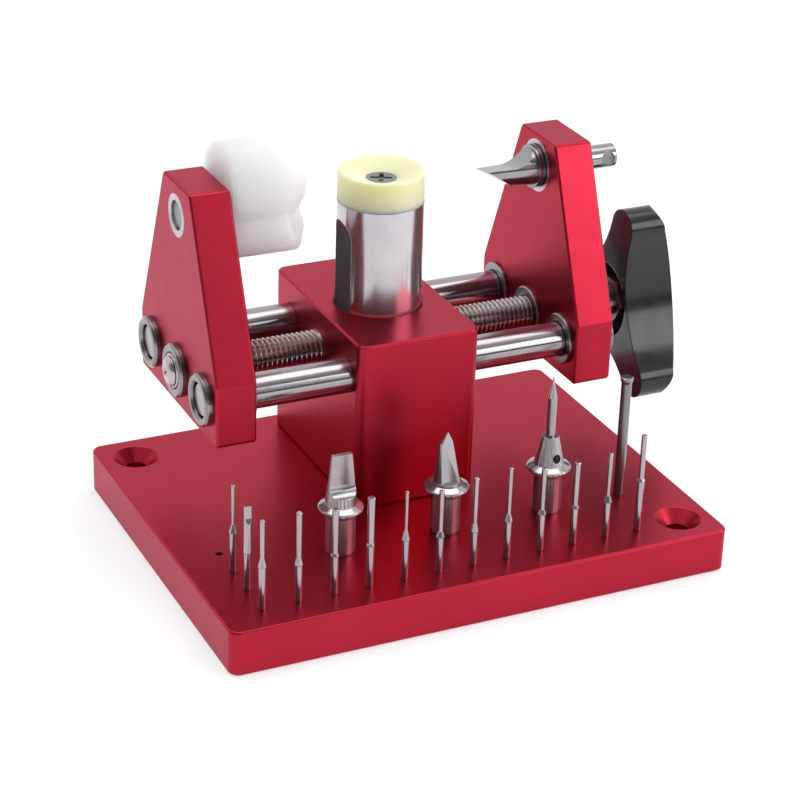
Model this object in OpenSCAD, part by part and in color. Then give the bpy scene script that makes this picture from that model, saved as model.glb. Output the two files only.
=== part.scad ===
// Watch case opener: two jaws on guide rods close on a watch that lies on the centre post.
// X runs along the rods towards the knob, Y runs to the back, Z is up.
// The origin is the centre of the base plate's underside.

/* [Base plate] */
// Length of the base plate along the rods
base_w = 150; // [140:1:170]
// Depth of the base plate from front to back
base_d = 114; // [108:1:130]
// Thickness of the base plate
base_h = 13.1; // [11:0.1:18]
// Radius of the plate's upright corners
base_corner_r = 3; // [1:0.5:6]
// Radius of a bench screw's clearance hole
bench_hole_r = 3.2; // [2:0.1:4]
// Radius of a bench screw's countersink at the surface
bench_sink_r = 6.7; // [5:0.1:8]
// Distance of a bench hole from the plate's left or right edge
bench_inset_x = 10.4; // [9:0.1:14]
// Distance of a bench hole from the plate's front or back edge
bench_inset_y = 10.9; // [9:0.1:14]

/* [Centre block and post] */
// Width of the block along the rods
block_w = 37; // [34:0.5:44]
// Depth of the block
block_d = 61.4; // [58:0.2:66]
// Height of the block's top above the bench
block_top = 63.4; // [61:0.1:70]
// Where the block's centre lies from front to back
block_y = 22.8; // [20:0.1:24]
// Diameter of the sliding post
post_d = 24.8; // [22:0.1:25.4]
// Height of the post's top under its cap, as it stands raised
post_top = 94.2; // [90:0.1:98]
// Thickness of the soft cap on the post
cap_h = 8.8; // [6:0.1:12]
// Width of the slot that straddles the lead screw
slot_w = 10.8; // [10.4:0.1:12]
// Height of the crown of the slot's arch
slot_top = 89.4; // [85:0.1:91]

/* [Jaws] */
// Thickness of a jaw plate
jaw_t = 11.8; // [9:0.1:13]
// Width of a jaw at its foot
jaw_foot_w = 59.3; // [56:0.1:64]
// Width of a jaw at its top
jaw_top_w = 20.4; // [18:0.1:26]
// Height of the foot's lower edge above the bench
jaw_z0 = 40.5; // [38:0.5:43]
// Height where a jaw starts to narrow
jaw_z1 = 58.7; // [57:0.1:66]
// Height of a jaw's top
jaw_z2 = 107; // [106:0.5:112]
// Distance between the two jaws' inner faces, fully open
jaw_gap = 98.3; // [96:0.1:104]
// Where the jaws' centre line lies from front to back
jaw_y = 21.3; // [20.5:0.1:22.5]

/* [Rods and screw] */
// Diameter of a guide rod
rod_d = 10; // [8:0.5:11]
// Distance between the two guide rods
rod_pitch = 40.6; // [40:0.1:43]
// Height of the rods and the lead screw above the bench
rod_z = 51.6; // [50.5:0.1:52]
// Diameter over the lead screw's thread
screw_d = 10; // [9:0.1:10.4]
// Pitch of the lead screw, left-handed on the left and right-handed on the right
screw_pitch = 1.5; // [1.25:0.25:2]
// Radial running clearance of a rod or the screw in its bush
run_fit = 0.06; // [0.02:0.01:0.1]
// Diameter of a rod bush's flange
rod_flange_d = 14.9; // [14.4:0.1:15.6]
// Diameter of a screw nut's flange
nut_flange_d = 15.5; // [15:0.1:17]
// How far an outer flange stands out of its jaw
outer_flange_t = 2; // [1:0.1:3]
// How far an inner flange stands out of its jaw
inner_flange_t = 1; // [0.6:0.1:2]

/* [Knob] */
// Radius over the knob's three lobes
knob_r = 31.8; // [30:0.1:34]
// Radius of a lobe's round end
lobe_r = 5.8; // [4.5:0.1:6.5]
// Distance from the axis to the hollow sides
knob_waist_r = 12.6; // [12.2:0.1:14]
// Thickness of the knob at its centre
knob_t = 17; // [15:0.1:18]
// Where the knob's inner face lies along the screw
knob_x = 76; // [75.5:0.1:79]
// Angle of the upper lobe, from the back and upwards
knob_turn = 105; // [0:1:360]

/* [Tools] */
// Height of the tool axis in both jaws
tool_z = 97.7; // [97:0.1:98]
// Diameter of a tool's shank in its bush
shank_d = 8.3; // [7.6:0.1:8.6]
// Diameter of a tool's tail
tail_d = 6.9; // [6:0.1:7.2]
// Diameter of the collar between a tool's shank and its working end
collar_d = 12.6; // [11:0.1:13]
// Length of a tool's tail, which stands in the base plate
tail_len = 13; // [11:0.1:13]
// Diameter of the cross hole in a tail, for the tommy bar
cross_hole_d = 4.4; // [3.4:0.1:4.6]
// Where the pad's round end lies along the rods
pad_tip_x = -23; // [-26:0.1:-22.8]
// Where the blade's edge lies along the rods
blade_tip_x = 32.2; // [29:0.1:36]
// How far the blade is rolled back round its own axis
blade_roll = 10; // [0:1:20]
// Distance between two stored tools
tool_pitch = 32; // [30:0.1:34]
// Diameter of the tommy bar
tommy_d = 3; // [2.5:0.1:3.2]
// Diameter of a pin's body
pin_d = 2.15; // [1.8:0.05:2.4]
// Distance between two pins
pin_pitch = 10.3; // [9.6:0.1:10.4]
// Distance from the front row of pins to the plate's front edge
pin_inset = 9.7; // [8:0.1:11]

/* [Hidden] */
$fn = 64;

// Where the parts stand
mid_x = 0.6;
left_inner_x = mid_x - jaw_gap / 2;
left_outer_x = left_inner_x - jaw_t;
right_inner_x = mid_x + jaw_gap / 2;
right_outer_x = right_inner_x + jaw_t;
block_h = block_top - base_h;
front_rod_y = jaw_y - rod_pitch / 2;
back_rod_y = jaw_y + rod_pitch / 2;
rod_recess = 1;
rod_chamfer = 0.6;
edge_chamfer = 0.5;
face_gap = 0.2;

// Length of a tool that only cuts, and how far a cut runs past a face
cut_len = 200;
past = 1;

// How far two solids of one piece run into each other
overlap = 0.01;

// Fits
hole_fit = 0.05;
post_fit = 0.05;
bush_body_r = 6.5;
tool_bush_r = 6.05;
tool_flange_r = 7.7;
tool_flange_t = 1.2;
block_screw_r = 3;
block_screw_dx = 11;
block_screw_dy = 23;
block_screw_bite = 14;
block_corner_r = 3;
jaw_corner_r = 1.2;
lock_screw_r = 1.6;

// Soft pad: a round-ended bar over a smaller one that ends in a blunt nose
pad_collar_h = 0.15;
pad_edge = 0.6;
pad_shank_inset = 0.4;
pad_upper_r = 12.2;
pad_upper_z = 6.9;
pad_lower_r = 10.5;
pad_lower_z = -3.7;
pad_nose_z = -8;
pad_nose_slant = 35;
pad_nose_lean = 15;
pad_nose_under = 10;

// Post
post_bottom = 46;
post_turn_r = post_d / 2;
cap_r = 12.3;
cap_screw_r = 2.5;
cap_head_r = 4.3;
cap_edge = 0.8;
cap_dish = 2.5;
cap_screw_bite = 3.5;
cap_cross_w = 6.2;
cap_cross_turn = -26;
cap_cross_depth = 1.6;
lock_z = (rod_z + rod_d / 2 + block_top) / 2;
hex_r = 1.15;
hex_depth = 2;

// Lead screw and knob
screw_r = screw_d / 2;
thread_depth = 0.85;
screw_end_out = 1.9;
screw_left_x = left_outer_x - outer_flange_t - screw_end_out;
screw_right_x = knob_x + knob_t - 2;
journal_left_x = mid_x - block_w / 2 - 0.4;
journal_right_x = mid_x + block_w / 2 + 0.4;
neck_x = 15.9;
neck_w = 2.8;
neck_r = 3.5;
keeper_r = 2;
dog_r = 1.2;
knob_recess_r = 11.5;
knob_recess_d = 6;
insert_r = 7;
dome_r = 71;
rim_r = 4;
knob_nut_t = 5;
knob_nut_flats = 13.2;
knob_nut_chamfer = 0.8;

// Tools
tool_y = -26.6;
chisel_x = -31.3;
shank_len = jaw_t - 0.7;
tool_top_z = base_h + shank_len;
collar_t = 3.6;
needle_r = 1.28;
needle_seat = 0.8;
needle_top = 54.4;
socket_depth = 8;
pin_x = -62.7;
pin_y = -base_d / 2 + pin_inset;
pin_bottom = base_h - socket_depth;
pin_row = 12;
pin_gap = 0.1;
pin_ring = 0.12;
tommy_x = 56.2;
tommy_y = -26.8;
tommy_top = 50.4;

// Diameter of each pin's point, and how long its point and its shoulder are
point_d = [1.3, 1.6, 1.9, 2.1, 1.0, 1.5, 1.4, 1.3, 1.5, 1.8, 1.3, 1.6, 2.1, 1.0];
point_top = [39.4, 39.6, 38.5, 39.9, 39.6, 37.8, 39.5, 40.7, 38.5, 38.3, 39.2, 42.7, 38.2, 39.5];
shoulder_z = [28.0, 26.0, 25.3, 26.2, 28.0, 25.4, 25.8, 26.6, 25.8, 25.1, 25.9, 29.2, 25.4, 27.6];
shoulder_h = [2.4, 1.9, 0.7, 0.7, 3.0, 1.6, 2.4, 2.2, 1.4, 0.9, 1.9, 0.6, 0.7, 2.4];
pin_count = len(point_d);

// Shared shapes

// Stands a child that was drawn along +Z on the X axis, at a height and depth
module along_x(x, y, z) {
    translate([x, y, z])
        rotate([90, 0, 90])
            children();
}

// As along_x, pointing the other way
module against_x(x, y, z) {
    translate([x, y, z])
        rotate([90, 0, -90])
            children();
}

module rounded_plate(w, d, h, r, c) {
    hull() {
        translate([0, 0, c])
            linear_extrude(h - 2 * c)
                offset(r = r) square([w - 2 * r, d - 2 * r], center = true);
        linear_extrude(h)
            offset(r = r - c) square([w - 2 * r, d - 2 * r], center = true);
    }
}

// A flanged ring that starts at z = 0 inside the jaw, with its flange outside
module flanged_ring(body_r, body_len, flange_r, flange_t, bore_r, c) {
    rotate_extrude()
        polygon([
            [bore_r, 0],
            [body_r, 0],
            [body_r, body_len],
            [flange_r, body_len],
            [flange_r, body_len + flange_t - c],
            [flange_r - c, body_len + flange_t],
            [bore_r + c, body_len + flange_t],
            [bore_r, body_len + flange_t - c]
        ]);
}

module countersunk_screw(r, head_r, len) {
    cylinder(r = r, h = len);
    translate([0, 0, len - head_r + r])
        cylinder(r1 = r, r2 = head_r, h = head_r - r);
}

// A cross recess cut down from z = 0
module cross_recess(w, depth) {
    for (a = [0, 90])
        rotate([0, 0, a])
            translate([-w / 2, -w / 10, -depth])
                cube([w, w / 5, depth + past]);
}

// Where pin number i stands: the row along the front, then the column up the left side
function pin_at(i) = i <= pin_row
    ? [pin_x + (i - 1) * pin_pitch, pin_y]
    : [pin_x, pin_y + (i - pin_row) * pin_pitch];

// Base and block

module bench_hole(x, y) {
    sink_h = bench_sink_r - bench_hole_r;
    translate([x, y, -past])
        cylinder(r = bench_hole_r, h = base_h + 2 * past);
    translate([x, y, base_h - sink_h])
        cylinder(r1 = bench_hole_r, r2 = bench_sink_r + 0.5, h = sink_h + 0.5);
}

module at_block_screws() {
    for (x = [-block_screw_dx, block_screw_dx], y = [-block_screw_dy, block_screw_dy])
        translate([mid_x + x, block_y + y, 0])
            children();
}

module base_plate() {
    color("firebrick")
        difference() {
            rounded_plate(base_w, base_d, base_h, base_corner_r, edge_chamfer);
            for (s = [-1, 1])
                bench_hole(s * (base_w / 2 - bench_inset_x), -s * (base_d / 2 - bench_inset_y));
            at_block_screws() {
                translate([0, 0, -past])
                    cylinder(r = block_screw_r + 0.2, h = base_h + 2 * past);
                translate([0, 0, -past])
                    cylinder(r1 = 2 * block_screw_r + past, r2 = block_screw_r, h = block_screw_r + past);
            }
            for (i = [1 : pin_count + 1])
                translate([pin_at(i)[0], pin_at(i)[1], pin_bottom])
                    cylinder(d = pin_d + 2 * hole_fit, h = base_h, $fn = 32);
            for (i = [0 : 2])
                translate([chisel_x + i * tool_pitch, tool_y, -past])
                    cylinder(d = tail_d + 2 * hole_fit, h = base_h + 2 * past);
            translate([tommy_x, tommy_y, pin_bottom])
                cylinder(d = tommy_d + 2 * hole_fit, h = base_h);
        }
}

module centre_block() {
    bore_d = post_d + 2 * post_fit;
    color("firebrick")
        difference() {
            translate([mid_x, block_y, base_h])
                rounded_plate(block_w, block_d, block_h, block_corner_r, edge_chamfer);
            translate([mid_x, jaw_y, 0])
                cylinder(d = bore_d, h = cut_len, $fn = 96);
            translate([mid_x, jaw_y, block_top - edge_chamfer])
                cylinder(d1 = bore_d, d2 = bore_d + 4 * edge_chamfer, h = edge_chamfer + 0.001, $fn = 96);
            for (y = [front_rod_y, back_rod_y])
                along_x(mid_x - block_w, y, rod_z)
                    cylinder(d = rod_d, h = 2 * block_w);
            along_x(mid_x - block_w, jaw_y, rod_z)
                cylinder(r = screw_r + run_fit, h = 2 * block_w);
            translate([neck_x, jaw_y, 0])
                cylinder(r = keeper_r, h = rod_z);
            translate([mid_x, jaw_y, lock_z])
                rotate([-90, 0, 0])
                    cylinder(r = lock_screw_r, h = block_d);
            at_block_screws()
                cylinder(r = block_screw_r, h = base_h + block_screw_bite + 2 * past);
        }
}

module block_screws() {
    color("dimgray")
        at_block_screws()
            difference() {
                translate([0, 0, base_h + block_screw_bite])
                    mirror([0, 0, 1])
                        countersunk_screw(block_screw_r, 2 * block_screw_r, base_h + block_screw_bite);
                translate([0, 0, -past])
                    cylinder(r = 0.77 * block_screw_r, h = block_screw_r + past, $fn = 6);
            }
}

module post() {
    color("silver")
        difference() {
            translate([mid_x, jaw_y, post_bottom])
                cylinder(d = post_d, h = post_top - post_bottom, $fn = 96);
            translate([mid_x - post_d, jaw_y - slot_w / 2, 0])
                cube([2 * post_d, slot_w, slot_top - slot_w / 2]);
            along_x(mid_x - post_d, jaw_y, slot_top - slot_w / 2)
                cylinder(d = slot_w, h = 2 * post_d);
            translate([mid_x, jaw_y, slot_top - slot_w / 2])
                cylinder(r = cap_screw_r, h = post_top);
        }
}

module post_cap() {
    head_h = cap_head_r - cap_screw_r;
    seat_h = cap_h - cap_dish;
    color("lightyellow")
        translate([mid_x, jaw_y, post_top])
            rotate_extrude($fn = 96)
                polygon([
                    [cap_screw_r, 0],
                    [cap_r, 0],
                    [cap_r, cap_h - cap_edge],
                    [cap_r - 0.3 * cap_edge, cap_h - 0.3 * cap_edge],
                    [cap_r - cap_edge, cap_h],
                    [cap_head_r, seat_h],
                    [cap_screw_r, seat_h - head_h]
                ]);
}

module cap_screw() {
    head_z = post_top + cap_h - cap_dish;
    screw_len = head_z - post_top + cap_screw_bite;
    color("darkgray")
        difference() {
            translate([mid_x, jaw_y, head_z - screw_len])
                countersunk_screw(cap_screw_r, cap_head_r, screw_len);
            translate([mid_x, jaw_y, head_z])
                rotate([0, 0, cap_cross_turn])
                    cross_recess(cap_cross_w, cap_cross_depth);
        }
}

module post_lock_screw() {
    tip_y = post_turn_r + post_fit;
    back_y = block_y + block_d / 2 - jaw_y - 1;
    color("dimgray")
        translate([mid_x, jaw_y, lock_z])
            rotate([-90, 0, 0])
                difference() {
                    translate([0, 0, tip_y])
                        cylinder(r = lock_screw_r, h = back_y - tip_y);
                    translate([0, 0, back_y - hex_depth])
                        cylinder(r = hex_r, h = hex_depth + past, $fn = 6);
                }
}

module screw_keeper() {
    len = 13;
    dog_len = 2.5;
    bottom = rod_z - neck_r - pin_gap - len;
    color("dimgray")
        translate([neck_x, jaw_y, bottom])
            difference() {
                union() {
                    cylinder(r = keeper_r, h = len - dog_len);
                    cylinder(r = dog_r, h = len);
                }
                translate([0, 0, -past])
                    cylinder(r = hex_r, h = hex_depth + past, $fn = 6);
            }
}

// Rods and lead screw

module guide_rod(y) {
    left_x = left_outer_x - outer_flange_t + rod_recess;
    right_x = right_outer_x + outer_flange_t - rod_recess;
    color("silver")
        along_x(left_x, y, rod_z)
            rotate_extrude()
                polygon([
                    [0, 0],
                    [rod_d / 2 - rod_chamfer, 0],
                    [rod_d / 2, rod_chamfer],
                    [rod_d / 2, right_x - left_x - rod_chamfer],
                    [rod_d / 2 - rod_chamfer, right_x - left_x],
                    [0, right_x - left_x]
                ]);
}

module front_rod() {
    guide_rod(front_rod_y);
}

module back_rod() {
    guide_rod(back_rod_y);
}

// Points of a run of thread grooves from a to b along the axis, as radius and place
function thread_run(a, b) = [
    for (i = [0 : floor((b - a) / screw_pitch) - 1])
        let (x = a + i * screw_pitch)
            each [
                [screw_r, x + 0.1],
                [screw_r - thread_depth, x + 0.65],
                [screw_r - thread_depth, x + 0.85],
                [screw_r, x + 1.4]
            ]
];

module lead_screw() {
    dome_h = 1.5;
    dome_edge = 0.4;
    dome_points = [for (a = [0 : 15 : 75]) [(screw_r - 0.3) * sin(a), dome_h * (1 - cos(a))]];
    left_end = journal_left_x - screw_left_x;
    right_start = journal_right_x - screw_left_x;
    thread_end = knob_x - 1 - screw_left_x;
    total = screw_right_x - screw_left_x;
    neck = neck_x - screw_left_x;
    color("gray")
        along_x(screw_left_x, jaw_y, rod_z)
            difference() {
                rotate_extrude()
                    polygon(concat(
                        dome_points,
                        [[screw_r - 0.2, dome_h], [screw_r, dome_h + dome_edge]],
                        thread_run(dome_h + dome_edge, left_end),
                        [
                            [screw_r, left_end],
                            [screw_r, neck - neck_w / 2],
                            [neck_r, neck - neck_w / 2],
                            [neck_r, neck + neck_w / 2],
                            [screw_r, neck + neck_w / 2],
                            [screw_r, right_start]
                        ],
                        thread_run(right_start, thread_end),
                        [[screw_r, thread_end], [screw_r, total], [0, total]]
                    ));
                translate([0, 0, -0.1])
                    cylinder(r1 = 0.9, r2 = 0.2, h = 1.3, $fn = 24);
            }
}

// Knob

// Centre of a lobe's end, and of the round hollow between two lobes
lobe_at = knob_r - lobe_r;
hollow_r = (pow(lobe_at, 2) + pow(knob_waist_r, 2) - lobe_at * knob_waist_r - pow(lobe_r, 2))
    / (2 * lobe_r - 2 * knob_waist_r + lobe_at);
hollow_at = hollow_r + knob_waist_r;

// Where a lobe's end meets a hollow, on the side given by s = 1 or -1
function tangent_point(a, s) =
    let (
        lobe = lobe_at * [cos(a), sin(a)],
        hollow = hollow_at * [cos(a + s * 60), sin(a + s * 60)]
    )
    lobe + (hollow - lobe) * lobe_r / (lobe_r + hollow_r);

module knob_outline() {
    difference() {
        polygon([for (a = [0, 120, 240], s = [-1, 1]) tangent_point(a, s)]);
        for (a = [60, 180, 300])
            rotate([0, 0, a])
                translate([hollow_at, 0])
                    circle(r = hollow_r, $fn = 240);
    }
    for (a = [0, 120, 240])
        rotate([0, 0, a])
            translate([lobe_at, 0])
                circle(r = lobe_r, $fn = 48);
}

// Half of the knob's round envelope: a flat back, a round rim and a shallow dome
module knob_envelope() {
    edge_z = knob_t - dome_r + sqrt(pow(dome_r, 2) - pow(knob_r - rim_r, 2));
    rotate_extrude($fn = 96)
        polygon(concat(
            [[0, 0], [knob_r + 1, 0], [knob_r + 1, edge_z - rim_r]],
            [for (a = [0 : 15 : 75])
                [knob_r + 0.2 - rim_r + rim_r * cos(a), edge_z - rim_r + rim_r * sin(a)]],
            [for (i = [0 : 8])
                let (r = (knob_r - rim_r) * (1 - i / 8))
                    [r, knob_t - dome_r + sqrt(pow(dome_r, 2) - pow(r, 2))]]
        ));
}

module knob() {
    color([0.08, 0.08, 0.09])
        along_x(knob_x, jaw_y, rod_z)
            difference() {
                intersection() {
                    rotate([0, 0, knob_turn])
                        linear_extrude(knob_t + 1)
                            knob_outline();
                    knob_envelope();
                }
                translate([0, 0, -past])
                    cylinder(r = knob_recess_r, h = knob_recess_d + past);
                cylinder(r = insert_r, h = screw_right_x - knob_x);
            }
}

module knob_insert() {
    color("goldenrod")
        along_x(knob_x + knob_recess_d, jaw_y, rod_z)
            difference() {
                cylinder(r = insert_r, h = screw_right_x - knob_x - knob_recess_d);
                translate([0, 0, -past])
                    cylinder(r = screw_r, h = knob_t);
            }
}

module knob_nut() {
    color("silver")
        along_x(knob_x + knob_recess_d - knob_nut_t, jaw_y, rod_z)
            difference() {
                intersection() {
                    cylinder(d = knob_nut_flats / cos(30), h = knob_nut_t, $fn = 6);
                    cylinder(
                        r1 = knob_nut_flats / cos(30) / 2 - knob_nut_chamfer,
                        r2 = knob_nut_flats / cos(30) / 2 - knob_nut_chamfer + knob_nut_t,
                        h = knob_nut_t
                    );
                }
                translate([0, 0, -past])
                    cylinder(r = screw_r, h = knob_nut_t + 2 * past);
            }
}

// Jaws

module jaw_outline() {
    offset(r = jaw_corner_r, $fn = 32)
        offset(delta = -jaw_corner_r)
            polygon([
                [-jaw_foot_w / 2, jaw_z0],
                [jaw_foot_w / 2, jaw_z0],
                [jaw_foot_w / 2, jaw_z1],
                [jaw_top_w / 2, jaw_z2],
                [-jaw_top_w / 2, jaw_z2],
                [-jaw_foot_w / 2, jaw_z1]
            ]);
}

// A jaw plate whose inner face is at z = 0
module jaw_plate() {
    difference() {
        hull() {
            translate([0, 0, edge_chamfer])
                linear_extrude(jaw_t - 2 * edge_chamfer)
                    jaw_outline();
            linear_extrude(jaw_t)
                offset(delta = -edge_chamfer) jaw_outline();
        }
        for (y = [-rod_pitch / 2, 0, rod_pitch / 2])
            translate([y, rod_z, -past])
                cylinder(r = bush_body_r, h = jaw_t + 2 * past);
        translate([0, tool_z, -past])
            cylinder(r = tool_bush_r, h = jaw_t + 2 * past);
        translate([0, tool_z, -past])
            cylinder(r = tool_flange_r, h = tool_flange_t + past);
    }
}

module left_jaw() {
    color("firebrick")
        against_x(left_inner_x, jaw_y, 0)
            jaw_plate();
}

module right_jaw() {
    color("firebrick")
        along_x(right_inner_x, jaw_y, 0)
            jaw_plate();
}

// A half bush in a jaw, with its flange on the outer or the inner face
module half_ring(side, face, y, flange_r, outer_t) {
    mid = side == "left" ? left_inner_x - jaw_t / 2 : right_inner_x + jaw_t / 2;
    flange_t = face == "outer" ? outer_t : inner_flange_t;
    chamfer = face == "outer" ? 0.6 : 0.3;
    if ((side == "left") == (face == "outer"))
        against_x(mid, y, rod_z)
            flanged_ring(bush_body_r, jaw_t / 2, flange_r, flange_t, screw_r + run_fit, chamfer);
    else
        along_x(mid, y, rod_z)
            flanged_ring(bush_body_r, jaw_t / 2, flange_r, flange_t, screw_r + run_fit, chamfer);
}

module rod_bush(side, rod, face) {
    color("lightgray")
        half_ring(side, face, rod == "front" ? front_rod_y : back_rod_y, rod_flange_d / 2, outer_flange_t);
}

module screw_nut(side, face) {
    color("lightgray")
        half_ring(side, face, jaw_y, nut_flange_d / 2, outer_flange_t);
}

// A tool's bush, drawn from its flange at the jaw's inner face
module tool_bush() {
    rotate_extrude()
        polygon([
            [shank_d / 2 + hole_fit, 0.4],
            [shank_d / 2 + hole_fit + 0.4, 0],
            [tool_flange_r, 0],
            [tool_flange_r, tool_flange_t],
            [tool_bush_r, tool_flange_t],
            [tool_bush_r, jaw_t],
            [shank_d / 2 + hole_fit, jaw_t]
        ]);
}

module left_tool_bush() {
    color("lightgray")
        against_x(left_inner_x, jaw_y, tool_z)
            tool_bush();
}

module right_tool_bush() {
    color("lightgray")
        along_x(right_inner_x, jaw_y, tool_z)
            tool_bush();
}

// Tools for the jaws

// A round bar along +Z from z = 0, with a rounded edge at its start
module pad_bar(r, len) {
    rotate_extrude()
        polygon([
            [0, 0],
            [r - pad_edge, 0],
            [r - 0.3 * pad_edge, 0.3 * pad_edge],
            [r, pad_edge],
            [r, len],
            [0, len]
        ]);
}

// The space in front of the nose's slanting faces, with the nose's tip at z = 0.
// The faces lean back above the tip and, a little less, below it.
module pad_nose_cut() {
    r = pad_upper_r;
    for (s = [-1, 1], lean = [-pad_nose_lean, pad_nose_under])
        rotate([lean, 0, 0])
            rotate([0, s * pad_nose_slant, 0])
                translate([s > 0 ? -r / 2 : -5 * r / 2, -2 * r, 0])
                    cube([3 * r, 4 * r, 2 * r]);
}

module nylon_pad() {
    back_x = left_inner_x + face_gap;
    bar_len = pad_tip_x - back_x - pad_collar_h;
    color("whitesmoke")
        along_x(back_x, jaw_y, tool_z) {
            translate([0, 0, pad_shank_inset - jaw_t])
                cylinder(d = shank_d, h = jaw_t + pad_edge);
            cylinder(d = collar_d, h = pad_collar_h + pad_edge);
            translate([0, pad_upper_z, pad_collar_h]) {
                pad_bar(pad_upper_r, bar_len - pad_upper_r);
                translate([0, 0, bar_len - pad_upper_r])
                    sphere(r = pad_upper_r);
            }
            translate([0, pad_lower_z, pad_collar_h])
                difference() {
                    pad_bar(pad_lower_r, bar_len + 1);
                    translate([0, pad_nose_z - pad_lower_z, bar_len + 0.5])
                        pad_nose_cut();
                }
        }
}

// Tail, shank and collar of a tool, with the working end to be added at z = collar_t
module tool_stem() {
    hole_in = 3.6;
    bevel = 0.5;
    rim_z = 2;
    root_r = 4.4;
    difference() {
        rotate_extrude()
            polygon([
                [0, -shank_len - tail_len],
                [tail_d / 2 - bevel, -shank_len - tail_len],
                [tail_d / 2, -shank_len - tail_len + bevel],
                [tail_d / 2, -shank_len],
                [shank_d / 2, -shank_len],
                [shank_d / 2, 0],
                [collar_d / 2, rim_z],
                [collar_d / 2, rim_z + bevel],
                [collar_d / 2 - bevel / 2, rim_z + 1.5 * bevel],
                [root_r, collar_t],
                [0, collar_t]
            ]);
        translate([0, 0, -shank_len - tail_len + hole_in])
            rotate([90, 0, 0])
                cylinder(d = cross_hole_d, h = 2 * tail_d, center = true, $fn = 32);
    }
}

module lifting_blade() {
    root_r = 5.4;
    tip_r = 3.9;
    scoop_r = 8;
    flat_y = 0.6;
    flat_len = 8;
    collar_h = 1.9;
    under_cut = 58;
    cross_hole_in = 2.7;
    blade_tail_extra = 0.2;
    tool_len = right_inner_x - face_gap - blade_tip_x;
    color("silver")
        against_x(right_inner_x - face_gap, jaw_y, tool_z)
            rotate([0, 0, blade_roll]) {
                mirror([0, 0, 1])
                    cylinder(d = shank_d, h = jaw_t + face_gap);
                rotate([0, 0, -blade_roll])
                    difference() {
                        mirror([0, 0, 1])
                            cylinder(d = tail_d, h = jaw_t + tail_len + blade_tail_extra);
                        translate([0, 0, -jaw_t - tail_len + cross_hole_in])
                            rotate([0, 90, 0])
                                cylinder(d = cross_hole_d, h = 2 * tail_d, center = true, $fn = 32);
                    }
                cylinder(d = collar_d, h = collar_h);
                difference() {
                    translate([0, 0, collar_h - 0.1])
                        cylinder(r1 = root_r, r2 = tip_r, h = tool_len - collar_h + 0.1);
                    translate([-collar_d, flat_y, tool_len - flat_len])
                        cube(2 * collar_d);
                    translate([0, flat_y + scoop_r, tool_len - flat_len])
                        rotate([0, 90, 0])
                            cylinder(r = scoop_r, h = 2 * collar_d, center = true);
                    translate([0, flat_y, tool_len])
                        rotate([under_cut, 0, 0])
                            translate([-collar_d, -2 * collar_d, 0])
                                cube(2 * collar_d);
                }
            }
}

// Stands a tool's stem in the base plate, with its working end drawn from z = 0 on the collar
module stored_tool(i) {
    translate([chisel_x + i * tool_pitch, tool_y, tool_top_z + hole_fit]) {
        tool_stem();
        translate([0, 0, collar_t - overlap])
            children();
    }
}

module chisel_tool() {
    blade_h = 14.6;
    root_r = 4.4;
    tip_r = 2.9;
    half_t = 0.75;
    step_z = 5.8;
    fillet_r = 3;
    color("silver")
        stored_tool(0)
            difference() {
                cylinder(r1 = root_r, r2 = tip_r, h = blade_h);
                for (s = [-1, 1]) {
                    translate([-blade_h, s > 0 ? half_t : -half_t - blade_h, step_z])
                        cube([2 * blade_h, blade_h, blade_h]);
                    translate([0, s * (half_t + fillet_r), step_z])
                        rotate([0, 90, 0])
                            cylinder(r = fillet_r, h = 2 * blade_h, center = true);
                }
            }
}

module knife_tool() {
    root_r = 3.9;
    root_h = 0.6;
    shoulder_h = 12.3;
    tip_h = 15.2;
    color("silver")
        stored_tool(1) {
            cylinder(r = root_r, h = root_h);
            hull() {
                linear_extrude(root_h)
                    polygon([[-3.3, -1.4], [-2.8, -2.4], [2.8, -2.5], [3.4, -0.8], [3, 2.3], [-3, 2.3]]);
                translate([0, 0, shoulder_h])
                    linear_extrude(0.1)
                        polygon([[-2.6, -0.4], [-2.2, -0.8], [1.3, -0.1], [1.3, 0.3], [-2.6, 0.2]]);
                translate([-0.3, 0, tip_h])
                    linear_extrude(0.1)
                        polygon([[-0.15, -0.1], [0.15, -0.1], [0.15, 0.1], [-0.15, 0.1]]);
            }
        }
}

module pin_holder() {
    root_r = 4.3;
    tip_r = 2.4;
    cone_h = 8.4;
    needle_hole_r = 1.3;
    needle_hole_up = 1.6;
    needle_hole_turn = 8;
    color("silver")
        stored_tool(2)
            difference() {
                cylinder(r1 = root_r, r2 = tip_r, h = cone_h);
                translate([0, 0, needle_seat])
                    cylinder(r = needle_r, h = cone_h, $fn = 32);
                translate([0, 0, needle_seat + needle_hole_up])
                    rotate([90, 0, needle_hole_turn])
                        cylinder(r = needle_hole_r, h = 2 * root_r, $fn = 32);
            }
}

module needle_pin() {
    point_r = 0.42;
    point_h = 2.2;
    cone_h = 6.3;
    bottom = tool_top_z + hole_fit + collar_t + needle_seat;
    len = needle_top - bottom;
    color("silver")
        translate([chisel_x + 2 * tool_pitch, tool_y, bottom])
            rotate_extrude($fn = 32)
                polygon([
                    [0, 0],
                    [needle_r, 0],
                    [needle_r, len - cone_h],
                    [point_r, len - point_h],
                    [point_r - 0.2, len - 0.1],
                    [0.05, len],
                    [0, len]
                ]);
}

module tommy_bar() {
    r = tommy_d / 2;
    head_r = r + 0.35;
    head_h = 1.9;
    len = tommy_top - pin_bottom - pin_gap;
    color("silver")
        translate([tommy_x, tommy_y, pin_bottom + pin_gap])
            rotate_extrude($fn = 48)
                polygon([
                    [0, 0],
                    [r, 0],
                    [r, len - head_h],
                    [head_r, len - head_h / 2],
                    [head_r, len - 0.3],
                    [r, len],
                    [0, len]
                ]);
}

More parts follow.
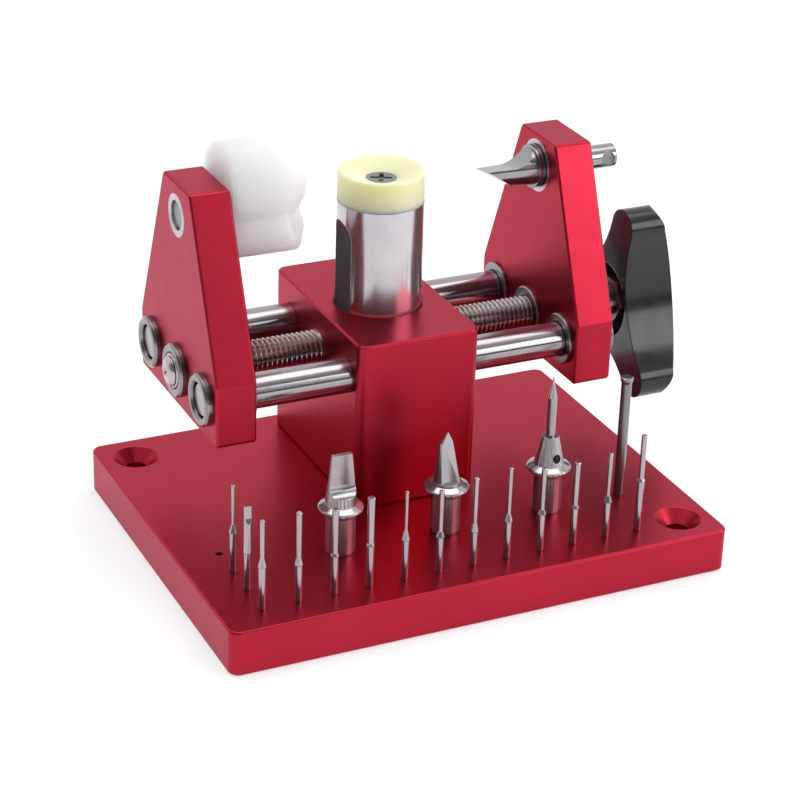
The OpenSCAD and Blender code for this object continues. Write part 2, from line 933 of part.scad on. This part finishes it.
module tool_pin(i) {
    tip_r = point_d[i - 1] / 2;
    top = point_top[i - 1] - pin_bottom - pin_gap;
    shoulder = shoulder_z[i - 1] - pin_bottom;
    neck = shoulder - shoulder_h[i - 1];
    color("silver")
        translate([pin_at(i)[0], pin_at(i)[1], pin_bottom + pin_gap])
            rotate_extrude($fn = 32)
                polygon([
                    [0, 0],
                    [pin_d / 2 - 0.2, 0],
                    [pin_d / 2, 0.2],
                    [pin_d / 2, neck - 2 * pin_ring],
                    [pin_d / 2 + pin_ring, neck - pin_ring],
                    [pin_d / 2 + pin_ring, neck],
                    [tip_r - 0.05, shoulder],
                    [tip_r, top - 0.2],
                    [tip_r - 0.15, top],
                    [0, top]
                ]);
}

base_plate();
centre_block();
block_screws();
post();
post_cap();
cap_screw();
post_lock_screw();
screw_keeper();
front_rod();
back_rod();
lead_screw();
knob();
knob_insert();
knob_nut();
left_jaw();
right_jaw();
for (side = ["left", "right"], rod = ["front", "back"], face = ["outer", "inner"])
    rod_bush(side, rod, face);
for (side = ["left", "right"], face = ["outer", "inner"])
    screw_nut(side, face);
left_tool_bush();
right_tool_bush();
nylon_pad();
lifting_blade();
chisel_tool();
knife_tool();
pin_holder();
needle_pin();
tommy_bar();
for (i = [1 : pin_count])
    tool_pin(i);
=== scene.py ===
import math

import bmesh
import bpy
from mathutils import Matrix, Vector


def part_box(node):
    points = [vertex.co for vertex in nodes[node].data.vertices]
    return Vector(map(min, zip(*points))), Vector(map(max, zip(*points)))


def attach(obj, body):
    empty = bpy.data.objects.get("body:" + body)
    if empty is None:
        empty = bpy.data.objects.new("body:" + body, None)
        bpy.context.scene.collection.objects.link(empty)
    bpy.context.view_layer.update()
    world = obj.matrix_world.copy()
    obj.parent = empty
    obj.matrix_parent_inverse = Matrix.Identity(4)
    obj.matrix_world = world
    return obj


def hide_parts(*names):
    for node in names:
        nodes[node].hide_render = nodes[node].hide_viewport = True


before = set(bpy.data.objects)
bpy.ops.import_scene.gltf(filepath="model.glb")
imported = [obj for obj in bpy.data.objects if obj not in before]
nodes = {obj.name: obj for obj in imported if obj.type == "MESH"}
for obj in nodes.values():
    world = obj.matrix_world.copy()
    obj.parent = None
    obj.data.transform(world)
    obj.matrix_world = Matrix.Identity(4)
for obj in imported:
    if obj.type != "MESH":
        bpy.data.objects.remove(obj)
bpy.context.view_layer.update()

# Dresses the watch case opener: materials, the pieces that need finer forms, light, floor and camera.
# Lengths are in metres, or in millimetres where that is said.

MM = 0.001

# Camera of the photograph: place, rotation vector (radians) and focal length (mm)
CAMERA_PLACE = (-0.26929, -0.55261, 0.34137)
CAMERA_AXIS_ANGLE = (1.995225, -0.423745, 0.305809)
CAMERA_LENS = 108.208
CAMERA_SENSOR = 36.0

# Axes of the parts, in millimetres
AXIS_Y = 21.3
SCREW_Z = 51.6
TOOL_Z = 97.7
MID_X = 0.6
ROD_Y = (1.0, 41.6)

# Lead screw, in millimetres: crest radius, depth, pitch, where its threads end, and its neck
CREST_R = 5.0
THREAD_DEPTH = 0.85
THREAD_PITCH = 1.5
THREAD_FADE = 0.7
LEFT_THREAD_END = -18.5
RIGHT_THREAD_START = 19.5
RIGHT_THREAD_END = 75.0
NECK_START = 14.5
NECK_END = 17.3
NECK_R = 3.5

# Pin with the flat tip, in millimetres: shank radius, edge chamfer and the bead round its middle
PIN_R = 1.05
PIN_CHAMFER = 0.2
BEAD_Z = 25.3
BEAD_OUT = 0.13
TIP_H = 5.0
TIP_HALF_T = 0.28

# Facets round the finer pieces, and the angle (degrees) above which the screw's edges stay sharp
SCREW_FACETS = 64
PIN_FACETS = 48
SCREW_SHARP_ANGLE = 50

# Pad: voxel of its remesh (mm), smoothing passes, and the reach that joins its points (m)
PAD_VOXEL = 0.3
PAD_PASSES = 24
WELD_REACH = 0.00001

# Tones shared by several materials
RED_DARK = (0.42, 0.0170, 0.037)
RED_PALE = (0.45, 0.0205, 0.043)
# The two edge colours below are painted highlights, mixed onto sharp edges.
RED_GLINT = (0.62, 0.09, 0.12)
STEEL_GLINT = (0.80, 0.78, 0.78)
BUSH_STEEL = (0.30, 0.27, 0.28)

# How far below 1 the cosine between true and rounded normal falls on a sharp edge
EDGE_SPAN = 0.12

# Fineness of turned marks along the axis and round it, per metre, and of the rings on an end face
TURNED_FINE = 2600.0
TURNED_COARSE = 40
FACE_RINGS = 900.0

# Sockets of a Mix node that carry colours
COLOUR_A = 6
COLOUR_B = 7
COLOUR_OUT = 2

# Floor, in metres
FLOOR_HALF = 4.0
FLOOR_Z = -0.0002

# Soft lights, in metres: name, centre, target, width, height and radiance
SOFTBOXES = (
    ("overhead_softbox", (0.05, 0.15, 1.5), (0, 0.02, 0.05), 1.7, 0.9, 1.95),
    ("right_softbox", (0.995, -0.912, 0.64), (0.0, 0, 0.08), 1.1, 0.72, 3.7)
)

# Room: which way its front lies, where the front wall's share rises, and each wall's grey by height
ROOM_FRONT = (-0.53, -0.848, 0)
FRONT_SHARE = ((-0.1, 0), (0.35, 1))
BACK_WALL = ((-0.02, 0.7), (0.02, 0.95))
FRONT_WALL = (
    (-0.03, 0.8), (0.0, 0.2), (0.1, 0.12), (0.2, 0.3), (0.3, 0.14),
    (0.5, 0.12), (0.7, 0.2), (0.85, 0.5), (1.0, 0.9)
)


# Node helpers.

class Shader:
    """A material with its principled shader and short calls that add nodes to it."""

    def __init__(self, name, **values):
        self.material = bpy.data.materials.new(name)
        self.material.use_nodes = True
        self.tree = self.material.node_tree
        self.nodes = self.tree.nodes
        self.main = self.nodes["Principled BSDF"]
        self.coords = self.add("ShaderNodeTexCoord").outputs["Object"]
        for socket, value in values.items():
            self.main.inputs[socket.replace("_", " ")].default_value = value

    def add(self, kind, **settings):
        node = self.nodes.new(kind)
        for key, value in settings.items():
            setattr(node, key, value)
        return node

    def link(self, source, target):
        self.tree.links.new(source, target)

    def place(self, centre=(0, 0, 0), scale=(1, 1, 1), turn=(0, 0, 0)):
        """Object coordinates with the origin at centre (mm), turned, then scaled."""
        shift = self.add("ShaderNodeMapping")
        shift.inputs["Location"].default_value = [-v * MM for v in centre]
        self.link(self.coords, shift.inputs["Vector"])
        stretch = self.add("ShaderNodeMapping")
        stretch.inputs["Rotation"].default_value = [math.radians(v) for v in turn]
        stretch.inputs["Scale"].default_value = scale
        self.link(shift.outputs["Vector"], stretch.inputs["Vector"])
        return stretch.outputs["Vector"]

    def noise(self, scale, detail=3.0, rough=0.55, vector=None):
        node = self.add("ShaderNodeTexNoise")
        node.inputs["Scale"].default_value = scale
        node.inputs["Detail"].default_value = detail
        node.inputs["Roughness"].default_value = rough
        self.link(vector or self.coords, node.inputs["Vector"])
        return node.outputs["Fac"]

    def spread(self, source, low, high, start=0.3, end=0.7):
        """Maps source from start..end to low..high."""
        node = self.add("ShaderNodeMapRange")
        node.inputs["From Min"].default_value = start
        node.inputs["From Max"].default_value = end
        node.inputs["To Min"].default_value = low
        node.inputs["To Max"].default_value = high
        self.link(source, node.inputs["Value"])
        return node.outputs["Result"]

    def mix(self, factor, first, second):
        node = self.add("ShaderNodeMix", data_type="RGBA")
        self.link(factor, node.inputs["Factor"])
        for socket, value in ((node.inputs[COLOUR_A], first), (node.inputs[COLOUR_B], second)):
            if isinstance(value, tuple):
                socket.default_value = (*value, 1.0)
            else:
                self.link(value, socket)
        return node.outputs[COLOUR_OUT]

    def math(self, operation, first, second):
        node = self.add("ShaderNodeMath", operation=operation)
        for socket, value in zip(node.inputs, (first, second)):
            if isinstance(value, (int, float)):
                socket.default_value = value
            else:
                self.link(value, socket)
        return node.outputs["Value"]

    def soft_normal(self, radius_mm):
        """The normal with every edge rounded by the radius."""
        soft = self.add("ShaderNodeBevel", samples=6)
        soft.inputs["Radius"].default_value = radius_mm * MM
        return soft.outputs["Normal"]

    def edges(self, radius_mm):
        """1 on sharp edges, 0 on flats, and the softened normal."""
        soft = self.soft_normal(radius_mm)
        flat = self.add("ShaderNodeNewGeometry")
        dot = self.add("ShaderNodeVectorMath", operation="DOT_PRODUCT")
        self.link(soft, dot.inputs[0])
        self.link(flat.outputs["True Normal"], dot.inputs[1])
        mask = self.spread(dot.outputs["Value"], 1.0, 0.0, 1.0 - EDGE_SPAN, 1.0)
        return mask, soft

    def open_share(self, distance_mm):
        """1 on open faces, falling to 0 deep in a groove or a hole."""
        node = self.add("ShaderNodeAmbientOcclusion", samples=8)
        node.inputs["Distance"].default_value = distance_mm * MM
        return node.outputs["AO"]

    def bump(self, height, distance_mm, strength, normal=None):
        node = self.add("ShaderNodeBump")
        node.inputs["Strength"].default_value = strength
        node.inputs["Distance"].default_value = distance_mm * MM
        self.link(height, node.inputs["Height"])
        if normal:
            self.link(normal, node.inputs["Normal"])
        return node.outputs["Normal"]

    def colour(self, source):
        self.link(source, self.main.inputs["Base Color"])

    def rough(self, source):
        self.link(source, self.main.inputs["Roughness"])

    def normal(self, source):
        self.link(source, self.main.inputs["Normal"])


def anodised(name, grain_turn=(0, 0, 0)):
    """Satin red anodised aluminium, finely blasted; a painted highlight makes sharp edges paler."""
    s = Shader(name, Metallic=1.0, Coat_Weight=0.12, Coat_IOR=1.35, Coat_Roughness=0.3)
    s.main.inputs["Specular Tint"].default_value = (0.9, 0.76, 0.86, 1.0)
    edge, soft = s.edges(0.35)
    cloud = s.noise(26.0, 4.0)
    tone = s.mix(s.spread(cloud, 0.0, 1.0), RED_DARK, RED_PALE)
    # Painted highlight: sharp edges are mixed halfway towards a paler red.
    s.colour(s.mix(s.math("MULTIPLY", edge, 0.5), tone, RED_GLINT))
    fine = s.noise(2400.0, 2.0, 0.6)
    brushed = s.noise(1.0, 2.0, 0.5, s.place(scale=(90, 90, 2200), turn=grain_turn))
    s.rough(s.math("ADD", s.spread(s.noise(180.0, 3.0), 0.31, 0.35), s.math("MULTIPLY", fine, 0.05)))
    s.normal(s.bump(brushed, 0.0008, 0.08, s.bump(fine, 0.0006, 0.1, soft)))
    return s.material


def turned(
    name, axis, centre, tone, rough,
    stretch=0.9, edge_glint=0.0, groove=1.5, metal=1.0, shade_share=0.22, marks=0.06
):
    """Turned or ground steel: fine rings about an axis that draw the highlights out across them.

    Sharp edges get a painted highlight, in the share given for it. Painted shade darkens grooves, holes
    and corners up to the given reach (mm), down to the given share of the tone. The rings are as deep
    as marks says, and metal below 1 dulls the steel.
    """
    s = Shader(name, Metallic=metal, Anisotropic=stretch, Anisotropic_Rotation=0.25)
    around = s.add("ShaderNodeTangent", direction_type="RADIAL", axis=axis)
    s.link(around.outputs["Tangent"], s.main.inputs["Tangent"])
    squeeze = [TURNED_FINE if letter == axis else TURNED_COARSE for letter in "XYZ"]
    rings = s.noise(1.0, 3.0, 0.6, s.place(centre or (0, 0, 0), squeeze))
    edge, soft = s.edges(0.2)
    if centre:
        radial = s.add("ShaderNodeTexWave", wave_type="RINGS", rings_direction=axis)
        radial.inputs["Scale"].default_value = FACE_RINGS
        radial.inputs["Distortion"].default_value = 1.2
        s.link(s.place(centre), radial.inputs["Vector"])
        soft = s.bump(radial.outputs["Fac"], 0.001, 0.12, soft)
    face = s.mix(s.spread(s.noise(140.0, 3.0), 0.0, 1.0), tuple(v * 0.88 for v in tone), tone)
    # Painted highlight: sharp edges are mixed towards a pale steel colour.
    if edge_glint:
        face = s.mix(s.math("MULTIPLY", edge, edge_glint), face, STEEL_GLINT)
    # Painted shade: the tone darkens where ambient occlusion finds grooves, holes and corners.
    share = s.spread(s.open_share(groove), 0.0, 1.0, 0.25, 0.85)
    s.colour(s.mix(share, tuple(v * shade_share for v in tone), face))
    s.rough(s.math("ADD", s.spread(rings, *rough), s.math("MULTIPLY", edge, 0.05)))
    s.normal(s.bump(rings, 0.0005, marks, soft))
    return s.material


def plain_steel(name, tone, rough):
    """Ground tool steel with fine crossed marks."""
    s = Shader(name, Metallic=1.0)
    edge, soft = s.edges(0.15)
    marks = s.noise(1.0, 3.0, 0.6, s.place(scale=(900, 108, 108), turn=(0, 35, 20)))
    cloud = s.noise(220.0, 3.0)
    s.colour(s.mix(s.spread(cloud, 0.0, 1.0), tuple(v * 0.88 for v in tone), tone))
    s.rough(s.math("ADD", s.spread(marks, *rough), s.math("MULTIPLY", edge, 0.05)))
    s.normal(s.bump(marks, 0.002, 0.4, soft))
    return s.material


def nylon(name):
    """White nylon, waxy and translucent, with faint cutter marks."""
    s = Shader(
        name, Roughness=0.45, Subsurface_Weight=1.0, Subsurface_Scale=0.03, Specular_IOR_Level=0.3
    )
    s.main.inputs["Subsurface Radius"].default_value = (1.0, 0.92, 0.88)
    cloud = s.noise(90.0, 3.0)
    s.colour(s.mix(s.spread(cloud, 0.0, 1.0), (0.69, 0.688, 0.70), (0.73, 0.727, 0.735)))
    marks = s.noise(1.0, 3.0, 0.5, s.place(scale=(60, 900, 900)))
    s.rough(s.spread(marks, 0.36, 0.5))
    s.normal(s.bump(marks, 0.006, 0.25))
    return s.material


def soft_cap(name):
    """Pale yellow cast rubber, cloudy and translucent, with a finely faced top."""
    s = Shader(
        name, Transmission_Weight=0.12, IOR=1.42, Subsurface_Weight=0.95, Subsurface_Scale=0.005
    )
    s.main.inputs["Subsurface Radius"].default_value = (1.0, 1.0, 0.45)
    cloud = s.noise(120.0, 4.0)
    s.colour(s.mix(s.spread(cloud, 0.0, 1.0), (0.96, 0.955, 0.56), (0.98, 0.975, 0.62)))
    rings = s.add("ShaderNodeTexWave", wave_type="RINGS", rings_direction="Z")
    rings.inputs["Scale"].default_value = 520.0
    rings.inputs["Distortion"].default_value = 2.0
    s.link(s.place((MID_X, AXIS_Y, 0)), rings.inputs["Vector"])
    s.rough(s.spread(s.noise(300.0), 0.34, 0.5))
    s.normal(s.bump(rings.outputs["Fac"], 0.004, 0.3))
    return s.material


def plastic(name):
    """Glossy black moulded plastic with a slight waviness."""
    s = Shader(name, Specular_IOR_Level=0.45, Coat_Weight=0.15, Coat_Roughness=0.1)
    soft = s.soft_normal(0.6)
    cloud = s.noise(60.0, 3.0)
    s.colour(s.mix(s.spread(cloud, 0.0, 1.0), (0.004, 0.004, 0.005), (0.008, 0.008, 0.009)))
    s.rough(s.spread(s.noise(240.0, 4.0), 0.16, 0.27))
    wave = s.bump(s.noise(110.0, 2.0), 0.05, 0.35, soft)
    s.normal(s.bump(s.noise(2400.0, 2.0), 0.003, 0.3, wave))
    return s.material


# Mesh helpers.

def new_piece(name, bm, body, material, smooth_angle=35.0):
    """An object made from bm, with its sharp edges kept, that rides the body."""
    mesh = bpy.data.meshes.new(name)
    bm.normal_update()
    bm.to_mesh(mesh)
    bm.free()
    obj = bpy.data.objects.new(name, mesh)
    bpy.context.scene.collection.objects.link(obj)
    mesh.materials.append(material)
    mesh.shade_smooth()
    mesh.set_sharp_from_angle(angle=math.radians(smooth_angle))
    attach(obj, body)
    return obj


def softened(node, name, body, material):
    """A copy of a CAD node with its edges rounded by a fine remesh and some smoothing."""
    source = nodes[node]
    obj = bpy.data.objects.new(name, source.data.copy())
    bpy.context.scene.collection.objects.link(obj)
    obj.data.materials.clear()
    obj.data.materials.append(material)
    weld = obj.modifiers.new("weld", "WELD")
    weld.merge_threshold = WELD_REACH
    remesh = obj.modifiers.new("remesh", "REMESH")
    remesh.mode = "VOXEL"
    remesh.voxel_size = PAD_VOXEL * MM
    smooth = obj.modifiers.new("smooth", "SMOOTH")
    smooth.factor = 0.5
    smooth.iterations = PAD_PASSES
    shown = obj.evaluated_get(bpy.context.evaluated_depsgraph_get())
    mesh = bpy.data.meshes.new_from_object(shown)
    obj.modifiers.clear()
    old = obj.data
    obj.data = mesh
    bpy.data.meshes.remove(old)
    mesh.shade_smooth()
    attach(obj, body)
    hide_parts(node)


def skinned(bm, rings):
    """Closes a row of vertex rings into one skin with a face at each end."""
    for first, second in zip(rings, rings[1:]):
        for k in range(len(first)):
            j = (k + 1) % len(first)
            bm.faces.new((first[k], first[j], second[j], second[k]))
    bm.faces.new(list(reversed(rings[0])))
    bm.faces.new(rings[-1])
    bmesh.ops.recalc_face_normals(bm, faces=bm.faces)
    return bm


def thread_stations(x, stop, start, end, hand):
    """Places (x, radius, thread share, hand) along a thread that fades in from start and out at end."""
    found = []
    while x < stop:
        share = min(1.0, (x - start) / THREAD_FADE, (end - x) / THREAD_FADE)
        found.append((x, CREST_R, max(0.0, share), hand))
        x += THREAD_PITCH / 12
    return found


def tooth_height(phase):
    """Height of the thread, 0 in its root and 1 on its crest, with a slightly rounded flank."""
    tooth = abs(phase * 2.0 - 1.0)
    tooth = min(1.0, max(0.0, (tooth - 0.08) / 0.84))
    return tooth * tooth * (3 - 2 * tooth) * 0.35 + tooth * 0.65


def revolved_screw():
    """The lead screw with its real helices: left-handed on the left, right-handed on the right."""
    low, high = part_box("lead_screw")
    left = low[0] / MM + 0.01
    right = high[0] / MM - 0.01
    # Domed left end with its centre hole, and the step behind the dome
    dome = (
        (1.6, 0.05), (0.6, 0.7), (0.15, 1.1), (0.05, 1.4), (0.12, 2.2), (0.4, 3.1),
        (0.85, 3.8), (1.35, 4.3), (1.5, 4.4), (1.55, 4.1), (1.75, 4.1), (1.8, CREST_R - 0.25)
    )
    neck = (
        (LEFT_THREAD_END + 0.2, CREST_R), (NECK_START - 0.05, CREST_R), (NECK_START, NECK_R),
        (NECK_END, NECK_R), (NECK_END + 0.05, CREST_R)
    )
    tail = (
        (RIGHT_THREAD_END + 0.2, CREST_R), (right - 0.6, CREST_R), (right, CREST_R - 0.5), (right, 0.05)
    )
    left_start = left + 2.1
    stations = [(left + inward, radius, 0.0, 1) for inward, radius in dome]
    stations += thread_stations(left_start, LEFT_THREAD_END, left_start, LEFT_THREAD_END, -1)
    stations += [(x, radius, 0.0, 1) for x, radius in neck]
    stations += thread_stations(
        RIGHT_THREAD_START + 0.2, RIGHT_THREAD_END - 0.2, RIGHT_THREAD_START, RIGHT_THREAD_END, 1
    )
    stations += [(x, radius, 0.0, 1) for x, radius in tail]
    bm = bmesh.new()
    rings = []
    for x, radius, share, hand in stations:
        ring = []
        for k in range(SCREW_FACETS):
            turn = k / SCREW_FACETS
            height = tooth_height((x / THREAD_PITCH * hand + turn) % 1.0)
            here = radius - THREAD_DEPTH * share * (1.0 - height)
            y = AXIS_Y + here * math.cos(turn * math.tau)
            z = SCREW_Z + here * math.sin(turn * math.tau)
            ring.append(bm.verts.new((x * MM, y * MM, z * MM)))
        rings.append(ring)
    return skinned(bm, rings)


def flat_tipped_pin(node):
    """A pin like its node, with a screwdriver tip: two flats that run out in a curve below it."""
    low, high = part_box(node)
    mid_x, mid_y = (low[0] + high[0]) / 2, (low[1] + high[1]) / 2
    r = PIN_R * MM
    chamfer = PIN_CHAMFER * MM
    bead_z = BEAD_Z * MM
    bead_r = r + BEAD_OUT * MM
    flat_h = TIP_H * MM
    half_t = TIP_HALF_T * MM
    top = high[2]
    steps = 24
    profile = [(low[2], r - chamfer), (low[2] + chamfer, r), (bead_z - 0.9 * MM, r)]
    profile += [(bead_z - 0.75 * MM, bead_r), (bead_z - 0.6 * MM, bead_r), (bead_z - 0.3 * MM, r)]
    profile += [(top - flat_h * (1 - i / steps), r - 0.02 * MM) for i in range(steps)]
    profile += [(top - 0.08 * MM, r - 0.02 * MM), (top, r - 0.1 * MM)]
    bm = bmesh.new()
    rings = []
    for z, radius in profile:
        share = min(1.0, max(0.0, (z - top + flat_h) / (0.55 * flat_h)))
        limit = radius + (half_t - radius) * math.sin(share * math.pi / 2)
        ring = []
        for k in range(PIN_FACETS):
            turn = k * math.tau / PIN_FACETS
            y = max(-limit, min(limit, radius * math.sin(turn)))
            ring.append(bm.verts.new((mid_x + radius * math.cos(turn), mid_y + y, z)))
        rings.append(ring)
    return skinned(bm, rings)


# Materials on the CAD nodes.

red_jaw = anodised("red_jaw_satin")
red_block = anodised("red_block_satin")
red_base = anodised("red_base_satin", (90, 0, 0))
black_steel = plain_steel("black_steel", (0.05, 0.05, 0.055), (0.3, 0.45))
# Post: a wide painted shade darkens its foot by the block and the inside of its slot.
post_steel = turned(
    "post_steel", "Z", None, (0.62, 0.60, 0.63), (0.15, 0.19),
    groove=8.0, metal=0.86, shade_share=0.52, marks=0.015
)
cap_rubber = soft_cap("cap_rubber")
zinc = turned("zinc_screw", "Z", (MID_X, AXIS_Y, 0), (0.27, 0.27, 0.27), (0.24, 0.36), groove=0.8)
front_ground, back_ground = (
    turned(
        f"{side}_rod_ground", "X", (0, y, SCREW_Z), (0.40, 0.375, 0.39), (0.12, 0.16),
        stretch=0.95, groove=1.0, metal=0.95, marks=0.03
    )
    for side, y in zip(("front", "back"), ROD_Y)
)
# Lead screw: painted shade makes the thread roots nearly black; a painted highlight brightens the
# crests.
screw_steel = turned(
    "screw_steel", "X", (0, AXIS_Y, SCREW_Z), (0.56, 0.49, 0.48), (0.18, 0.25),
    edge_glint=0.4, groove=1.6, shade_share=0.05
)
knob_plastic = plastic("knob_plastic")
brass = turned("brass", "X", (0, AXIS_Y, SCREW_Z), (0.72, 0.52, 0.22), (0.2, 0.3))
zinc_nut = turned("zinc_nut", "X", (0, AXIS_Y, SCREW_Z), (0.18, 0.17, 0.18), (0.25, 0.36), metal=0.7)
white_nylon = nylon("white_nylon_waxy")
# Blade: painted shade darkens its hole.
blade_steel = turned(
    "blade_steel", "X", None, (0.36, 0.35, 0.36), (0.14, 0.19),
    stretch=0.8, groove=3.0, metal=0.95, shade_share=0.06, marks=0.02
)
# Bushes: a strong painted highlight on their sharp edges.
bush_front, bush_back, bush_screw = (
    turned(
        f"bush_{place}_turned", "X", (0, y, SCREW_Z), BUSH_STEEL, (0.24, 0.30), edge_glint=0.9, groove=1.0
    )
    for place, y in (("front", ROD_Y[0]), ("back", ROD_Y[1]), ("screw", AXIS_Y))
)
bush_tool = turned(
    "bush_tool_turned", "X", (0, AXIS_Y, TOOL_Z), (0.56, 0.50, 0.54), (0.24, 0.30),
    edge_glint=0.9, groove=0.8
)
tool_steels = [
    turned(
        f"tool_steel_{i + 1}", "Z", None, (0.46, 0.44, 0.45), (0.15, 0.20),
        stretch=0.93, edge_glint=0.3, metal=0.86, marks=0.01
    )
    for i in range(3)
]
pin_steel = turned(
    "pin_steel", "Z", None, (0.44, 0.39, 0.41), (0.10, 0.14), stretch=0.7,
    edge_glint=0.5, groove=0.6, metal=0.9, marks=0.01
)
bar_steel = turned(
    "bar_steel", "Z", None, (0.27, 0.25, 0.26), (0.14, 0.19), stretch=0.85,
    edge_glint=0.5, groove=0.6, metal=0.9, marks=0.02
)

MATERIALS = {
    "base_plate": red_base,
    "centre_block": red_block,
    "left_jaw": red_jaw,
    "right_jaw": red_jaw,
    "block_screws": black_steel,
    "post_lock_screw": black_steel,
    "screw_keeper": black_steel,
    "post": post_steel,
    "post_cap": cap_rubber,
    "cap_screw": zinc,
    "front_rod": front_ground,
    "back_rod": back_ground,
    "lead_screw": screw_steel,
    "knob": knob_plastic,
    "knob_insert": brass,
    "knob_nut": zinc_nut,
    "left_tool_bush": bush_tool,
    "right_tool_bush": bush_tool,
    "nylon_pad": white_nylon,
    "lifting_blade": blade_steel,
    "chisel_tool": tool_steels[0],
    "knife_tool": tool_steels[1],
    "pin_holder": tool_steels[2],
    "needle_pin": pin_steel,
    "tommy_bar": bar_steel,
}
for side in ("left", "right"):
    for end in ("outer", "inner"):
        MATERIALS[f"{side}_front_{end}_bush"] = bush_front
        MATERIALS[f"{side}_back_{end}_bush"] = bush_back
        MATERIALS[f"{side}_{end}_nut"] = bush_screw
for i in range(14):
    MATERIALS[f"tool_pin_{i + 1}"] = pin_steel

for name, obj in nodes.items():
    obj.data.materials.clear()
    obj.data.materials.append(MATERIALS[name])

# Finer pieces.

screw = new_piece(
    "lead_screw_threads", revolved_screw(), "screw", screw_steel, SCREW_SHARP_ANGLE
)
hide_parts("lead_screw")
tip = new_piece("pin_13_flat_tip", flat_tipped_pin("tool_pin_13"), "pin_13", pin_steel)
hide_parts("tool_pin_13")
softened("nylon_pad", "pad_softened", "pad", white_nylon)

# Floor, light, camera.

floor_mesh = bpy.data.meshes.new("floor")
bm = bmesh.new()
bmesh.ops.create_grid(bm, x_segments=8, y_segments=8, size=FLOOR_HALF)
bm.to_mesh(floor_mesh)
bm.free()
floor = bpy.data.objects.new("floor", floor_mesh)
bpy.context.scene.collection.objects.link(floor)
floor.location.z = FLOOR_Z
paper = Shader("pale_paper", Roughness=0.9, Specular_IOR_Level=0.1, Emission_Strength=0.6)
paper.main.inputs["Emission Color"].default_value = (1.0, 1.0, 1.0, 1.0)
paper.colour(paper.mix(paper.noise(3.0), (0.46, 0.46, 0.46), (0.48, 0.48, 0.48)))
floor_mesh.materials.append(paper.material)


def softbox(name, centre, target, width, height, radiance):
    """A white area light at centre that faces the target."""
    light = bpy.data.lights.new(name, "AREA")
    light.shape = "RECTANGLE"
    light.size = width
    light.size_y = height
    light.energy = radiance * math.pi * width * height
    obj = bpy.data.objects.new(name, light)
    bpy.context.scene.collection.objects.link(obj)
    obj.location = centre
    aim = Vector(target) - Vector(centre)
    obj.rotation_euler = aim.to_track_quat("-Z", "Y").to_euler()


for values in SOFTBOXES:
    softbox(*values)

world = bpy.data.worlds.new("studio")
world.use_nodes = True
bpy.context.scene.world = world
tree = world.node_tree
background = tree.nodes["Background"]
direction = tree.nodes.new("ShaderNodeTexCoord").outputs["Generated"]


def world_ramp(source, low, high, stops):
    """Grey values by place between low and high of the source value."""
    scale = tree.nodes.new("ShaderNodeMapRange")
    scale.inputs["From Min"].default_value = low
    scale.inputs["From Max"].default_value = high
    tree.links.new(source, scale.inputs["Value"])
    ramp = tree.nodes.new("ShaderNodeValToRGB")
    points = ramp.color_ramp.elements
    while len(points) < len(stops):
        points.new(0.5)
    for point, (at, value) in zip(points, stops):
        point.position = (at - low) / (high - low)
        point.color = (value, value, value, 1)
    tree.links.new(scale.outputs["Result"], ramp.inputs["Fac"])
    return ramp.outputs["Color"]


# A bright room behind the part. In front a dark band stands between the floor and the ceiling.
frontness = tree.nodes.new("ShaderNodeVectorMath")
frontness.operation = "DOT_PRODUCT"
frontness.inputs[1].default_value = ROOM_FRONT
tree.links.new(direction, frontness.inputs[0])
height = tree.nodes.new("ShaderNodeSeparateXYZ")
tree.links.new(direction, height.inputs["Vector"])
front_share = world_ramp(frontness.outputs["Value"], -1, 1, FRONT_SHARE)
front = world_ramp(height.outputs["Z"], -0.1, 1.0, FRONT_WALL)
back = world_ramp(height.outputs["Z"], -1, 1, BACK_WALL)
blend = tree.nodes.new("ShaderNodeMix")
blend.data_type = "RGBA"
tree.links.new(front_share, blend.inputs["Factor"])
tree.links.new(back, blend.inputs[COLOUR_A])
tree.links.new(front, blend.inputs[COLOUR_B])
tree.links.new(blend.outputs[COLOUR_OUT], background.inputs["Color"])

camera_data = bpy.data.cameras.new("camera")
camera = bpy.data.objects.new("camera", camera_data)
bpy.context.scene.collection.objects.link(camera)
camera_data.sensor_width = CAMERA_SENSOR
camera_data.lens = CAMERA_LENS
camera_data.clip_start = 0.01
camera_data.clip_end = 20.0
turn = Vector(CAMERA_AXIS_ANGLE)
look = Matrix.Rotation(turn.length, 3, turn.normalized())
right, down, ahead = look
camera_axes = Matrix((right, -down, -ahead)).transposed()
camera.matrix_world = Matrix.Translation(CAMERA_PLACE) @ camera_axes.to_4x4()
bpy.context.scene.camera = camera
bpy.context.scene.view_settings.view_transform = "Standard"
bpy.context.scene.view_settings.look = "None"
